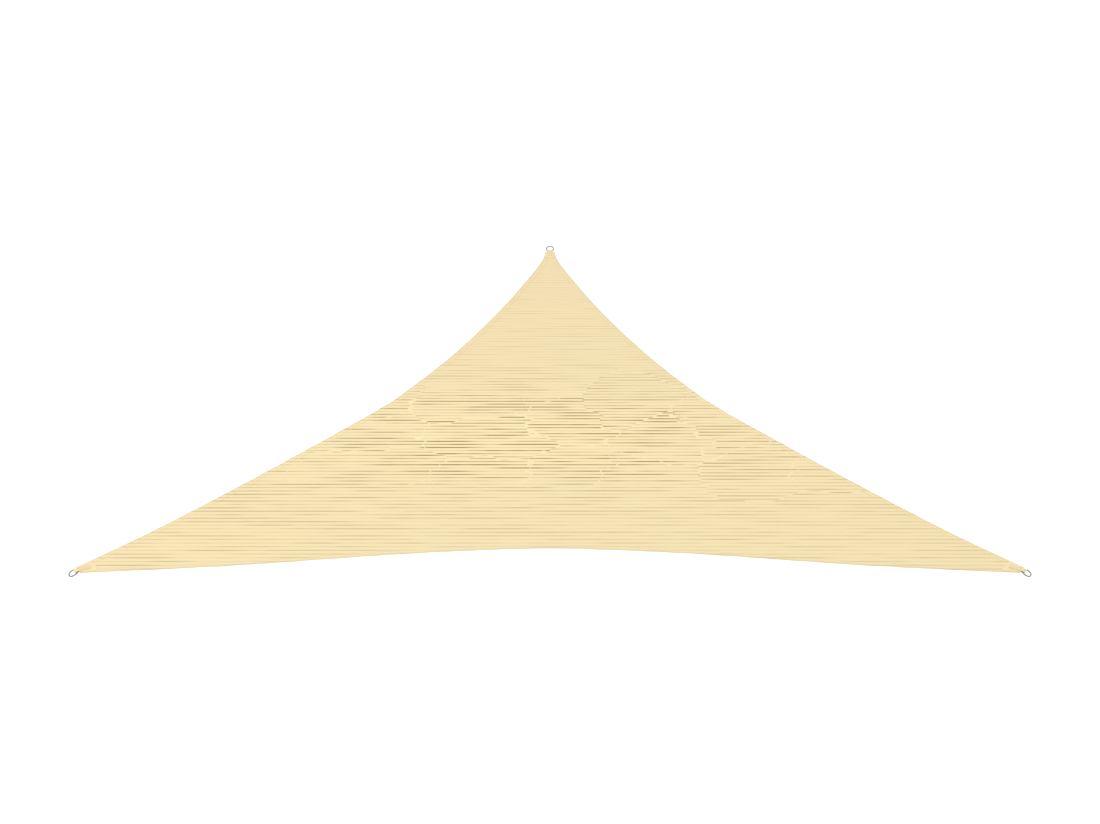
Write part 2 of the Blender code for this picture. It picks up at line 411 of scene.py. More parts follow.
def make_cloth():
    """The knitted cloth with its folded hem: loops of points in the hem, an even field inside."""
    inward, half = np.array(HEM_PROFILE).T
    loops = [close_loop([edge.row(distance) for edge in EDGES]) for distance in inward]
    border = loops[-1]
    count = len(border)
    still = np.zeros(CORNER_STEPS)
    gathers = np.concatenate([part for edge in EDGES for part in (edge.gathers, still)])
    field = field_points(border, gathers)
    layer = np.vstack((*loops, field))
    whole = len(layer)

    faces = [
        (k + i, k + (i + 1) % count, k + count + (i + 1) % count, k + count + i)
        for k in range(0, (len(loops) - 1) * count, count)
        for i in range(count)
    ]
    first = (len(loops) - 1) * count
    spots = [Vector(p[:2]) for p in layer[first:]]
    sides = [(i, (i + 1) % count) for i in range(count)]
    _, _, triangles, origins, *_ = delaunay_2d_cdt(spots, sides, [], INSIDE_ALONE, TINY)
    faces += [tuple(first + origins[i][0] for i in triangle) for triangle in triangles]

    def spread(values, rest):
        """One value for each point: values go to the loops, rest to the field."""
        return np.concatenate((np.repeat(values, count), np.full(len(field), rest)))

    # The underside has the same faces, turned round, and shares the outermost loop
    up = np.outer(spread(half, CLOTH_THICK / 2), (0, 0, 1))
    points = np.vstack((layer + up, (layer - up)[count:]))
    under = [tuple(i if i < count else i + whole - count for i in face[::-1]) for face in faces]
    cloth = add_mesh("knitted_cloth", points, faces + under)
    # Masks for the finish: the hem, and the stitch dents and outer fold, into which it paints
    # shade
    marks = {
        "hem": spread(inward <= HEM_WIDTH, 0),
        "seam": spread((inward == OUTER_SEAM) | (inward == INNER_SEAM), 0),
        "fold": spread(np.exp(-((inward / FOLD_REACH) ** 2)), 0),
    }
    for name, values in marks.items():
        attribute = cloth.data.attributes.new(name, "FLOAT", "POINT")
        attribute.data.foreach_set("value", np.concatenate((values, values[count:])))
    return cloth


def grid_faces(rows, columns):
    """The four-sided faces of a grid of points, listed row by row."""
    return [
        (i * columns + j, i * columns + j + 1, (i + 1) * columns + j + 1, (i + 1) * columns + j)
        for i in range(rows - 1)
        for j in range(columns - 1)
    ]


PATCH_BORDER = (0.0, 0.0036, 0.0050, 0.0064)  # lines of points from its edge inwards
SEAM_LINE = 2  # the one that the seam runs along, in a dent
PATCH_ROWS = 16  # from the innermost of them to that of the other side
PATCH_COLUMNS = 14
PATCH_ROUNDING = 0.38  # of its cut edges, as a share of its thickness
HEM_SLOPE = 0.012  # over this width the doubler comes down from the hem to the single cloth


def patch_grid(turn, leaving, arriving):
    """The doubler's middle layer as rows from the corner inwards, laid over hem and cloth."""
    length = PATCH_LENGTH - TIP_BACK
    border = np.array(PATCH_BORDER)
    inner = np.linspace(border[-1], length - border[-1], PATCH_ROWS)[1:-1]
    down = np.concatenate((border, inner, length - border[::-1]))
    along = PATCH_INSET + down * (length - PATCH_INSET) / length
    moved = leaving.points + leaving.inward * PATCH_INSET
    near = np.column_stack([np.interp(along, leaving.arc, moved[:, i]) for i in range(3)])
    moved = (arriving.points + arriving.inward * PATCH_INSET)[::-1]
    back = arriving.arc[-1] - arriving.arc[::-1]
    far = np.column_stack([np.interp(along, back, moved[:, i]) for i in range(3)])
    rows = []
    for i, distance in enumerate(down):
        width = np.linalg.norm(far[i] - near[i])
        inner = np.linspace(border[-1], width - border[-1], PATCH_COLUMNS)[1:-1]
        offsets = np.concatenate((border, inner, width - border[::-1]))
        share = (offsets / width)[:, None]
        bow = PATCH_BULGE * (distance / length) ** 2 * 4 * share * (1 - share)
        row = near[i] * (1 - share) + far[i] * share - outward(turn) * bow
        hem_width = HEM_TIP_WIDTH + (HEM_WIDTH - HEM_TIP_WIDTH) * min(along[i] / HEM_TAPER, 1)
        to_edge = PATCH_INSET + np.minimum(offsets, width - offsets)
        on_hem = 1 - smooth_step(hem_width, hem_width + HEM_SLOPE, to_edge)
        under = CLOTH_THICK / 2 + (HEM_THICK - CLOTH_THICK) / 2 * on_hem
        row[:, 2] = cloth_z(row) + under + CLOSE_GAP + PATCH_THICK / 2
        rows.append(row)
    grid = np.array(rows)
    for line in (SEAM_LINE, -SEAM_LINE - 1):
        grid[line, SEAM_LINE:-SEAM_LINE, 2] -= SEAM_DENT
        grid[SEAM_LINE + 1 : -SEAM_LINE - 1, line, 2] -= SEAM_DENT
    return grid


def make_patch(corner, grid):
    """A corner's doubler, sewn on top of the cloth."""
    rows, columns = grid.shape[:2]
    patch = add_mesh(f"doubler_{corner}", grid.reshape(-1, 3), grid_faces(rows, columns))
    if patch.data.polygons[0].normal.z < 0:
        patch.data.flip_normals()
    return thicken(patch, PATCH_THICK, PATCH_ROUNDING, 2)


def ring_frame(turn, tilt):
    """Where a ring's wire passes through its loop, and the way from there to its centre."""
    pivot = fixing_point(turn) - outward(turn) * RING_RADIUS + np.array((0, 0, WIRE_Z))
    lift = math.radians(tilt)
    way = outward(turn) * math.cos(lift) + np.array((0, 0, math.sin(lift)))
    return pivot, way


def eased(start, start_way, end, end_way, steps):
    """The points of a curve that leaves start and reaches end along the given ways."""
    handle = np.linalg.norm(end - start) / 3
    first, second = start + start_way * handle, end - end_way * handle
    t = np.linspace(0, 1, steps + 1)[:, None]
    return (
        start * (1 - t) ** 3
        + first * (3 * t * (1 - t) ** 2)
        + second * (3 * t * t * (1 - t))
        + end * t**3
    )


LEG_STEPS = 20  # in each straight leg of the webbing
EASE_STEPS = 8  # in each curve from the cloth to the loop
LOOP_STEPS = 16  # round the wire
TOP_LEG_Z = CLOTH_THICK / 2 + PATCH_THICK + 2 * CLOSE_GAP + STRAP_THICK / 2
UNDER_LEG_Z = -(CLOTH_THICK / 2 + CLOSE_GAP + STRAP_THICK / 2)


def strap_path(turn, tilt):
    """Middle line of the webbing: along the top, round the wire and back under the cloth."""
    out = outward(turn)
    pivot, way = ring_frame(turn, tilt)
    side = np.cross(across(turn), way)
    side *= math.copysign(1, side[2])
    end = fixing_point(turn) - out * STRAP_LENGTH
    bend = fixing_point(turn) - out * STRAP_BEND
    top, under = np.array((0, 0, TOP_LEG_Z)), np.array((0, 0, UNDER_LEG_Z))
    back = pivot - way * LOOP_BACK
    share = np.linspace(0, 1, LEG_STEPS + 1)[:-1, None]
    leg = end * (1 - share) + bend * share
    angle = np.linspace(0, math.pi, LOOP_STEPS + 1)[:, None]
    reach = LOOP_REACH + LOOP_RADIUS * np.sin(angle)
    return np.vstack(
        (
            leg + top,
            eased(bend + top, out, back + side * LOOP_RADIUS, way, EASE_STEPS),
            pivot + way * reach + side * (LOOP_RADIUS * np.cos(angle)),
            eased(back - side * LOOP_RADIUS, -way, bend + under, -out, EASE_STEPS),
            leg[::-1] + under,
        )
    )


STRAP_COLUMNS = (-1.0, -0.94, -0.86, -0.5, 0.0, 0.5, 0.86, 0.94, 1.0)  # shares of half its width
STRAP_ROUNDING = 0.36  # of its woven edges, as a share of its thickness
SHARP_EDGE = math.radians(50)  # the bends round the wire stay below this


def make_strap(corner, turn, tilt):
    """The webbing loop, with a UV map in metres: along the webbing, then across it."""
    path = strap_path(turn, tilt)
    columns = len(STRAP_COLUMNS)
    half = across(turn) * (STRAP_WIDTH / 2)
    points = np.array([p + half * share for p in path for share in STRAP_COLUMNS])
    strap = add_mesh(f"webbing_loop_{corner}", points, grid_faces(len(path), columns))
    lengths = np.concatenate(([0], np.cumsum(np.linalg.norm(np.diff(path, axis=0), axis=1))))
    layer = strap.data.uv_layers.new(name="webbing")
    for loop in strap.data.loops:
        row, column = divmod(loop.vertex_index, columns)
        layer.data[loop.index].uv = (lengths[row], STRAP_COLUMNS[column] * STRAP_WIDTH / 2)
    return thicken(strap, STRAP_THICK, STRAP_ROUNDING, 3, SHARP_EDGE, even=True)


RING_STEPS = 128  # round the ring
WIRE_STEPS = 24  # round its wire
WELD_ANGLE = math.radians(118)  # from the loop, round the ring
WELD_WIDTH = math.radians(7)
WELD_SWELL = 0.13  # as a share of the wire's radius


def make_ring(corner, turn, tilt):
    """A round wire ring, butt-welded: the wire swells a little at the weld."""
    pivot, way = ring_frame(turn, tilt)
    along = across(turn)
    square = np.cross(way, along)
    centre = pivot + way * RING_RADIUS
    points, faces = [], []
    for i in range(RING_STEPS):
        angle = 2 * math.pi * i / RING_STEPS
        spoke = -way * math.cos(angle) + along * math.sin(angle)
        off = (angle - WELD_ANGLE) / WELD_WIDTH
        radius = WIRE_RADIUS * (1 + WELD_SWELL * math.exp(-off * off))
        for j in range(WIRE_STEPS):
            turned = 2 * math.pi * j / WIRE_STEPS
            points.append(
                centre
                + spoke * (RING_RADIUS + radius * math.cos(turned))
                + square * (radius * math.sin(turned))
            )
    for i in range(RING_STEPS):
        here, ahead = i * WIRE_STEPS, (i + 1) % RING_STEPS * WIRE_STEPS
        for j in range(WIRE_STEPS):
            following = (j + 1) % WIRE_STEPS
            faces.append((here + j, ahead + j, ahead + following, here + following))
    ring = add_mesh(f"wire_ring_{corner}", points, faces)
    first = ring.data.polygons[0]
    if first.normal.dot(first.center - Vector(centre - way * RING_RADIUS)) < 0:
        ring.data.flip_normals()
    return ring


# ---------------------------------------------------------------- stitches


def stitch_tree():
    """Geometry Nodes that lay one thread grain at each stitch of the lines they are given."""
    tree = bpy.data.node_groups.new("stitches", "GeometryNodeTree")
    sockets = tree.interface
    sockets.new_socket("Geometry", in_out="INPUT", socket_type="NodeSocketGeometry")
    for name in ("Stitch Spacing", "Half Length", "Thread Radius"):
        sockets.new_socket(name, in_out="INPUT", socket_type="NodeSocketFloat")
    sockets.new_socket("Thread", in_out="INPUT", socket_type="NodeSocketMaterial")
    sockets.new_socket("Geometry", in_out="OUTPUT", socket_type="NodeSocketGeometry")

    def node(kind, **inputs):
        """Adds a node and links its inputs, or sets them to plain values."""
        made = tree.nodes.new(kind)
        for name, value in inputs.items():
            socket = made.inputs[name.replace("_", " ")]
            if isinstance(value, bpy.types.NodeSocket):
                tree.links.new(value, socket)
            else:
                socket.default_value = value
        return made

    given = node("NodeGroupInput")
    curve = node("GeometryNodeMeshToCurve", Mesh=given.outputs["Geometry"])
    spots = node("GeometryNodeCurveToPoints", Curve=curve.outputs["Curve"])
    spots.mode = "LENGTH"
    tree.links.new(given.outputs["Stitch Spacing"], spots.inputs["Length"])
    aim = node("FunctionNodeAlignRotationToVector", Vector=spots.outputs["Tangent"])
    aim.axis = "Z"
    size = node(
        "ShaderNodeCombineXYZ",
        X=given.outputs["Thread Radius"],
        Y=given.outputs["Thread Radius"],
        Z=given.outputs["Half Length"],
    )
    grain = node("GeometryNodeMeshUVSphere", Segments=6, Rings=4, Radius=1.0)
    sized = node("GeometryNodeTransform", Geometry=grain.outputs["Mesh"])
    tree.links.new(size.outputs["Vector"], sized.inputs["Scale"])
    laid = node(
        "GeometryNodeInstanceOnPoints",
        Points=spots.outputs["Points"],
        Instance=sized.outputs["Geometry"],
        Rotation=aim.outputs["Rotation"],
    )
    real = node("GeometryNodeRealizeInstances", Geometry=laid.outputs["Instances"])
    smooth = node("GeometryNodeSetShadeSmooth", Geometry=real.outputs["Geometry"])
    finished = node(
        "GeometryNodeSetMaterial",
        Geometry=smooth.outputs["Geometry"],
        Material=given.outputs["Thread"],
    )
    node("NodeGroupOutput", Geometry=finished.outputs["Geometry"])
    return tree


STITCHES = stitch_tree()
THREAD_RADIUS = 0.00045
THREAD_RISE = THREAD_RADIUS * 0.3  # of a stitch's middle over the cloth that it is pulled into
HALF_STITCH = 0.44  # half a stitch's length, as a share of the spacing


def sew(name, lines, spacing, thread):
    """Stitches along lines of points, as one piece."""
    points, edges = [], []
    for line in lines:
        edges += [(len(points) + i, len(points) + i + 1) for i in range(len(line) - 1)]
        points += list(line)
    seam = add_mesh(name, points, [], edges)
    sewn = seam.modifiers.new("stitches", "NODES")
    sewn.node_group = STITCHES
    values = {
        "Stitch Spacing": spacing,
        "Half Length": spacing * HALF_STITCH,
        "Thread Radius": THREAD_RADIUS,
        "Thread": thread,
    }
    for item in STITCHES.interface.items_tree:
        if item.name in values:
            sewn[item.identifier] = values[item.name]
    return apply_modifiers(seam)


def raised(line, height):
    """A copy of a line, higher by a height."""
    lifted = np.array(line)
    lifted[:, 2] += height
    return lifted


def hem_seams(side):
    """Both rows of stitches in all three hems, on top (side 1) or underneath (side -1)."""
    height = side * (HEM_THICK / 2 - SEAM_DENT + THREAD_RISE)
    lines = [raised(edge.row(at), height) for edge in EDGES for at in (OUTER_SEAM, INNER_SEAM)]
    # Both ends of a row are moved in from the blunt corners
    for line in lines:
        for end, following in ((0, 1), (-1, -2)):
            run = line[following] - line[end]
            line[end] += run * (SEAM_START / np.linalg.norm(run))
    return lines


def patch_seam(grid):
    """The row of stitches round a doubler."""
    a, b = SEAM_LINE, -SEAM_LINE - 1
    line = np.vstack((grid[a:b, a], grid[b, a:b], grid[b:a:-1, b], grid[a, b:a:-1], grid[a, a]))
    return raised(line, PATCH_THICK / 2 + THREAD_RISE)


BOX_START = 0.094  # from the fixing point back to the box seam's inner end
BOX_END = 0.037  # and to the end next to the ring
BOX_HALF = 0.0145  # half its width


def box_seam(turn, side):
    """The boxed cross of stitches in a webbing leg, on top (side 1) or underneath (side -1)."""
    out, aside = outward(turn), across(turn)
    leg = TOP_LEG_Z if side == 1 else UNDER_LEG_Z
    height = leg + side * (STRAP_THICK / 2 + THREAD_RISE)
    base = fixing_point(turn) + np.array((0, 0, height))
    a, b, c, d = (
        base - out * back + aside * half
        for back, half in (
            (BOX_START, -BOX_HALF),
            (BOX_END, -BOX_HALF),
            (BOX_END, BOX_HALF),
            (BOX_START, BOX_HALF),
        )
    )
    return [np.array((a, b, c, d, a)), np.array((a, c)), np.array((b, d))]


# ---------------------------------------------------------------- finishes


class Number:
    """A shader socket that can stand in a Python sum: each operator adds a Math node."""

    def __init__(self, finish, socket):
        self.finish, self.socket = finish, socket

    def maths(self, operation, *values):
        """The result of one Math node."""
        return self.finish.node("ShaderNodeMath", values, operation=operation)

    def __add__(self, other):
        return self.maths("ADD", self, other)

    def __radd__(self, other):
        return self.maths("ADD", other, self)

    def __sub__(self, other):
        return self.maths("SUBTRACT", self, other)

    def __rsub__(self, other):
        return self.maths("SUBTRACT", other, self)

    def __mul__(self, other):
        return self.maths("MULTIPLY", self, other)

    def __rmul__(self, other):
        return self.maths("MULTIPLY", other, self)

    def __truediv__(self, other):
        return self.maths("DIVIDE", self, other)

    def __abs__(self):
        return self.maths("ABSOLUTE", self)

    def whole(self):
        return self.maths("FLOOR", self)

    def part(self):
        return self.maths("FRACT", self)

    def above(self, limit):
        """1 where the value is above the limit, and 0 elsewhere."""
        return self.maths("GREATER_THAN", self, limit)


class Finish:
    """A material under construction. Its constants go straight into the shader's own sockets."""

    def __init__(self, name, **constants):
        self.material = bpy.data.materials.new(name)
        self.material.use_nodes = True
        self.tree = self.material.node_tree
        self.shader = self.tree.nodes["Principled BSDF"]
        for socket, value in constants.items():
            self.shader.inputs[socket.replace("_", " ")].default_value = value

    def node(self, kind, values=(), output=0, stops=None, **settings):
        """Adds a node, sets it up, fills its inputs and returns one of its outputs. values are
        in the order of the inputs, or named by the inputs' identifiers."""
        made = self.tree.nodes.new(kind)
        for name, value in settings.items():
            setattr(made, name, value)
        if stops:
            ramp = made.color_ramp
            while len(ramp.elements) < len(stops):
                ramp.elements.new(0.5)
            for element, (position, tone) in zip(ramp.elements, stops):
                element.position = position
                element.color = tone
        by_identifier = {socket.identifier: socket for socket in made.inputs}
        pairs = values.items() if isinstance(values, dict) else enumerate(values)
        for key, value in pairs:
            socket = made.inputs[key] if isinstance(key, int) else by_identifier[key]
            self.fill(socket, value)
        return Number(self, made.outputs[output])

    def fill(self, socket, value):
        """Links a Number to a socket, or sets the socket to a plain value."""
        if isinstance(value, Number):
            self.tree.links.new(value.socket, socket)
        else:
            socket.default_value = value

    def parts(self, vector):
        """The three parts of a vector, as Numbers."""
        split = self.node("ShaderNodeSeparateXYZ", (vector,))
        return [Number(self, output) for output in split.socket.node.outputs]

    def place(self):
        """x, y and z of the point in metres, as Numbers, and the three as one vector."""
        spot = self.node("ShaderNodeTexCoord", output="Object")
        return self.parts(spot), spot

    def vector(self, x, y, z=0.0):
        return self.node("ShaderNodeCombineXYZ", (x, y, z))

    def noise(self, spot, detail, scale=1.0, roughness=0.5):
        """Soft noise from 0 to 1."""
        return self.node(
            "ShaderNodeTexNoise",
            {"Vector": spot, "Scale": scale, "Detail": detail, "Roughness": roughness},
            noise_dimensions="3D",
        )

    def cells(self, spot, feature, output="Distance"):
        """Cells in the plane, round one random point in each square of side 1."""
        return self.node(
            "ShaderNodeTexVoronoi",
            {"Vector": spot, "Scale": 1.0},
            output=output,
            voronoi_dimensions="2D",
            feature=feature,
        )

    def rise(self, value, low, high):
        """0 below low, 1 above high, and a smooth rise between them."""
        return self.node(
            "ShaderNodeMapRange",
            {"Value": value, "From Min": low, "From Max": high, "To Min": 0.0, "To Max": 1.0},
            interpolation_type="SMOOTHSTEP",
        )

    def mix(self, share, first, second, blend="MIX"):
        """Two colours mixed, by the second one's share, or blended in another way."""
        return self.node(
            "ShaderNodeMix",
            {"Factor_Float": share, "A_Color": first, "B_Color": second},
            output=2,
            data_type="RGBA",
            blend_type=blend,
        )

    def toned(self, base, factor):
        """A colour made lighter or darker by a factor."""
        return self.mix(1.0, base, factor, "MULTIPLY")

    def mark(self, name):
        """A value that the mesh carries at its points."""
        return self.node(
            "ShaderNodeAttribute", output="Fac", attribute_name=name, attribute_type="GEOMETRY"
        )

    def bump(self, height, distance, strength):
        return self.node(
            "ShaderNodeBump", {"Strength": strength, "Distance": distance, "Height": height}
        )

    def give(self, **links):
        """Fills the shader's inputs and returns the material."""
        for name, value in links.items():
            self.fill(self.shader.inputs[name.replace("_", " ")], value)
        return self.material


def colour(red, green, blue):
    return (red, green, blue, 1.0)


def grey(value):
    return colour(value, value, value)


BAND_PITCH = 0.0386  # of the knit bands, which run along X
WALES = 12  # columns of loops in a band
COURSE_PITCH = 0.0028  # of the loops in a column
BOW = 1.95  # how far the bands bow along Y for each metre of the cloth's height
CREEP = 0.002  # how far they wander besides
CREEP_ALONG = 0.7  # how fast they do, along X
CREEP_ACROSS = 1.5  # and along Y
HALF_BAND = 0.5

# Patches of cloth in which the bands may lie half a band further on
CELL_WIDTH = 0.56
CELL_DEPTH = 0.56
RAGGED_PACE = 12.0  # how fast a patch's rim jumps about along a line
RAGGED_REACH = 0.16
WOBBLE_PACE = 3.5  # how fast the rims wander on the whole
WOBBLE_REACH = 0.35
LINE_ENDS = (0.000, 0.014)  # from a rim, in cells, where a line begins and is full
FAINT_ENDS = (0.004, 0.024)  # where a fainter stretch next to a rim starts to end and ends
RAGGED_BREAK = (0.42, 0.62)  # only some parts of the rims have such a stretch
WOBBLE_BREAK = (0.165, 0.195)

# The lines between the bands
LINE_HALF = 0.13  # half a line's width at its thinnest, as a share of the band
LINE_SWELL = 0.07  # and what it gains where the line is dark
LINE_FAINT = 0.30  # share of the strength that a line keeps all along
LINE_STREAK = 0.84  # and what it gains in its dark streaks
STREAK_PACE = 2.4
STREAK_RISE = (0.36, 0.66)

# How strongly the lines show, from the front edge to the rear corner
LINE_REACH = 4.4  # the table's span, from the rear fixing point towards the front
LINE_STRENGTH = (
    # y, strength
    (-4.35, 0.36),
    (-3.75, 0.35),
    (-3.42, 0.50),
    (-3.15, 0.90),
    (-2.60, 1.00),
    (-2.36, 0.84),
    (-2.12, 0.52),
    (-1.90, 0.35),
    (-1.65, 0.23),
    (-0.45, 0.19),
    (-0.34, 0.00),
)
STRONG_FRONT = (-3.45, -3.25)  # along Y, where the strip of the strongest lines begins
STRONG_REAR = (-2.30, -2.05)  # and where it ends
STRONG_DEPTH = 2.55  # from the rear fixing point to the patches that are shifted
STRONG_HALF = 0.50
ASIDE = (0.40, 1.20)  # from the middle to both sides, where that strip loses strength
LEFT_LOSS = 0.26
RIGHT_LOSS = 0.28
RIGHTWARD_LOSS = 0.08  # of every line, for each metre along X
HEM_LOSS = 0.25

# Steps that give each line its own piece of the noise, and each patch its own chance
RAGGED_STEP = 3.71
STREAK_STEP = 5.37
SHIFTED_STEP = 0.37
CELL_STEP = 7.3

# The cloth's slow change of tint
TINT_ALONG = 1.1  # how fast it goes, along X
TINT_ACROSS = 1.6  # and along Y
TINT_RISE = (0.35, 0.65)

# Levels at which two noises are cut, so that they differ from the others
WOBBLE_LEVEL = 5.0
TINT_LEVEL = 3.0

CLOTH_LIGHT = colour(0.675, 0.556, 0.314)
CLOTH_WARM = colour(0.686, 0.552, 0.309)
CLOTH_COOL = colour(0.665, 0.560, 0.314)
CLOTH_LINE = colour(0.205, 0.125, 0.010)
BAND_HIGHLIGHT = 0.10  # painted highlight: how much lighter the bands are between strong lines
RIM_GLINT = 0.05  # painted glint: how much lighter the bands are next to a patch's rim
SEAM_PAINTED_SHADE = 0.12  # painted shade: how much darker the cloth is in the dents under its seams
FOLD_PAINTED_SHADE = 0.16  # painted shade: how much darker the cloth is along its outer fold
KNIT_PAINTED_SHADE = 0.87  # painted shade: the tone in the hollows between the loops
KNIT_GAIN = 0.18  # and what it gains on top of them
LOOP_LEAN = 0.9  # how far a loop's sides lean, as a share of a loop


def line_strength(finish, x, y, middle):
    """How strong the lines are at a place: most in the strip across the sail's middle."""
    ramp = finish.node(
        "ShaderNodeValToRGB",
        {"Fac": (y + LINE_REACH) / LINE_REACH},
        stops=[((at + LINE_REACH) / LINE_REACH, grey(share)) for at, share in LINE_STRENGTH],
    )
    left, right = finish.rise(0 - x, *ASIDE), finish.rise(x, *ASIDE)
    aside = LEFT_LOSS * left + RIGHT_LOSS * right
    return ramp * (1 - aside * middle) * (1 - RIGHTWARD_LOSS * x)


def shade_cloth():
    """Knitted shade cloth: rows of loops in bands, with thin darker lines between the bands."""
    finish = Finish("shade_cloth", Sheen_Weight=0.10, Sheen_Roughness=0.5)
    (x, y, z), _ = finish.place()
    middle = finish.rise(y, *STRONG_FRONT) * (1 - finish.rise(y, *STRONG_REAR))
    zone = line_strength(finish, x, y, middle)

    # The bands run along X and bow a little with the cloth's height
    creep = finish.noise(finish.vector(x * CREEP_ALONG, y * CREEP_ACROSS), detail=1.0)
    creep = (creep - 0.5) * CREEP
    bands = (y + z * BOW + creep) / BAND_PITCH

    # In some patches they lie half a band further on, so that the lines end at the rims, which
    # jump a little from each line to the next
    ragged = finish.vector(x * RAGGED_PACE, (bands * 2 + 0.5).whole() * RAGGED_STEP)
    ragged = finish.noise(ragged, detail=1.0)
    wobble = finish.vector(x * WOBBLE_PACE, y * WOBBLE_PACE, WOBBLE_LEVEL)
    wobble = finish.noise(wobble, detail=1.0) * WOBBLE_REACH
    sideways = (x + ragged * RAGGED_REACH + wobble) / CELL_WIDTH
    spot = finish.vector(sideways, (y + wobble) / CELL_DEPTH)
    cell = finish.cells(spot, "F1", "Color")
    _, centre, _ = finish.parts(finish.cells(spot, "F1", "Position"))
    in_strip = 1 - abs(centre * CELL_DEPTH + STRONG_DEPTH).above(STRONG_HALF)
    shifted = (cell * CELL_STEP).part().above(0.5) * in_strip

    # Near some stretches of a rim the lines are fainter and the cloth gets a painted glint, and
    # at a rim they end softly
    to_rim = finish.cells(spot, "DISTANCE_TO_EDGE")
    broken = finish.rise(ragged, *RAGGED_BREAK) * finish.rise(wobble, *WOBBLE_BREAK)
    rim_near = (1 - finish.rise(to_rim, *FAINT_ENDS)) * middle * broken
    ends = 1 - (1 - finish.rise(to_rim, *LINE_ENDS)) * middle

    # The lines, each of which fades in and out along its length
    band = bands + shifted * HALF_BAND
    number = band.whole() + shifted * SHIFTED_STEP
    off_line = abs(band.part() - 0.5)
    streak = finish.vector(x * STREAK_PACE, number * STREAK_STEP)
    streak = finish.rise(finish.noise(streak, detail=2.0), *STREAK_RISE)
    reach = LINE_HALF + LINE_SWELL * streak
    line = 1 - finish.rise(off_line, reach * 0.5, reach)
    depth = zone * (LINE_FAINT + LINE_STREAK * streak) * (1 - rim_near) * ends
    lines = line * depth * (1 - HEM_LOSS * finish.mark("hem"))

    # The knit itself: columns of loops, each column half a loop on from the last
    wale = bands * WALES
    column = wale.whole()
    beside = abs(wale.part() - 0.5)
    course = x / COURSE_PITCH + (column * 0.5).part() + beside * LOOP_LEAN
    loop = abs(course.part() - 0.5)
    knit = (1 - 4 * beside * beside) * (1 - 2.0 * loop * loop)

    tint = finish.noise(finish.vector(x * TINT_ALONG, y * TINT_ACROSS, TINT_LEVEL), detail=1.0)
    base = finish.mix(finish.rise(tint, *TINT_RISE), CLOTH_WARM, CLOTH_COOL)
    base = finish.mix(0.5, base, CLOTH_LIGHT)
    # Painted highlight on the bands where the lines are strong, and a painted glint next to the
    # patches' rims
    base = finish.toned(base, 1 + BAND_HIGHLIGHT * zone + RIM_GLINT * rim_near)
    base = finish.mix(lines, base, CLOTH_LINE)
    # Painted shade in the dents that the stitches press into the cloth
    in_seams = 1 - SEAM_PAINTED_SHADE * finish.mark("seam")
    # Painted shade along the outer fold, where the cloth rounds over
    at_fold = 1 - FOLD_PAINTED_SHADE * finish.mark("fold")
    # Painted shade in the hollows between the knit's loops
    base = finish.toned(base, (KNIT_PAINTED_SHADE + KNIT_GAIN * knit) * in_seams * at_fold)
    return finish.give(
        Base_Color=base,
        Roughness=0.82 - 0.12 * knit,
        Normal=finish.bump(knit * 0.45 - lines * 0.55, distance=0.0007, strength=0.55),
    )


DOUBLER_DARK = colour(0.685, 0.562, 0.312)
DOUBLER_LIGHT = colour(0.719, 0.588, 0.329)
WEBBING_FIELD = colour(0.714, 0.590, 0.332)
WEBBING_BORDER = colour(0.636, 0.509, 0.272)
THREAD_LIGHT = colour(0.590, 0.465, 0.245)
THREAD_DARK = colour(0.480, 0.362, 0.180)
# Painted reflection: both steel tones are dark, as steel reflecting dark surroundings looks
STEEL_DARK = colour(0.090, 0.089, 0.091)
STEEL_LIGHT = colour(0.165, 0.163, 0.162)

YARN_GRID = 0.0011  # pitch of the doublers' weave
RIB_PITCH = 0.0016  # along the webbing
YARN_PITCH = 0.0014  # across it
CHEVRON_WIDTH = 0.0085  # of the herringbone that the ribs make
TWIST_PITCH = 0.0008  # of the thread
SELVEDGE = (0.0026, 0.0016)  # from the webbing's edge, where its darker border begins and is full


def patch_cloth():
    """The doublers' plain, closely woven cloth."""
    finish = Finish("patch_cloth", Sheen_Weight=0.10, Sheen_Roughness=0.5)
    (x, y, _), spot = finish.place()
    column, row = x / YARN_GRID, y / YARN_GRID
    warp = abs(column.part() - 0.5)
    weft = abs(row.part() - 0.5)
    over = (column.whole() * 0.5 + row.whole() * 0.5).part() * 2
    weave = over * (1 - 3 * warp * warp) + (1 - over) * (1 - 3 * weft * weft)
    cloudy = finish.noise(spot, detail=3.0, scale=9.0)
    base = finish.mix(cloudy, DOUBLER_DARK, DOUBLER_LIGHT)
    # Painted shade in the hollows of the weave
    base = finish.toned(base, 0.86 + 0.17 * weave)
    return finish.give(
        Base_Color=base,
        Roughness=0.80 - 0.10 * weave,
        Normal=finish.bump(weave, distance=0.0002, strength=0.5),
    )


